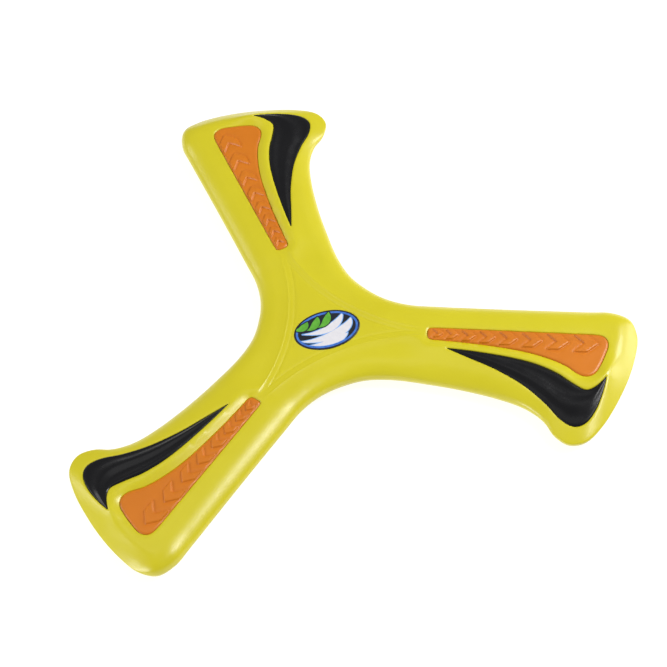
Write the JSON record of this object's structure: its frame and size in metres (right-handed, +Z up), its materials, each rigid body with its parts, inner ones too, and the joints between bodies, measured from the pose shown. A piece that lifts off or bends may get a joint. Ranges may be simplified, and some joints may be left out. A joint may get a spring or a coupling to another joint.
{
  "type": "boomerang",
  "caption": "Soft foam boomerang with equal hooked arms, glued tapering orange panels with raised chevrons, black swoosh inlays and a printed oval emblem on a raised hub.",
  "frame": {"origin": "centre of the hub on the flat underside", "axes": "+Z up through the hub, out of the decorated face; +X along arm 1. Each arm's straight leading edge is on its +Y side, turned with the arm, so seen from +Z the toy spins counter-clockwise"},
  "size_m": [0.2499, 0.2615, 0.0141],
  "materials": {
    "yellow_foam": "satin moulded foam skin",
    "orange_foam": "satin moulded foam skin",
    "black_foam": "semi-gloss moulded foam skin",
    "printed_film": "satin printed film"
  },
  "bodies": {
    "root": {"foam_body": "yellow_foam", "orange_panel_1": "orange_foam", "orange_panel_2": "orange_foam", "orange_panel_3": "orange_foam", "black_inlay_1": "black_foam", "black_inlay_2": "black_foam", "black_inlay_3": "black_foam", "emblem": "printed_film"}
  },
  "joints": []
}
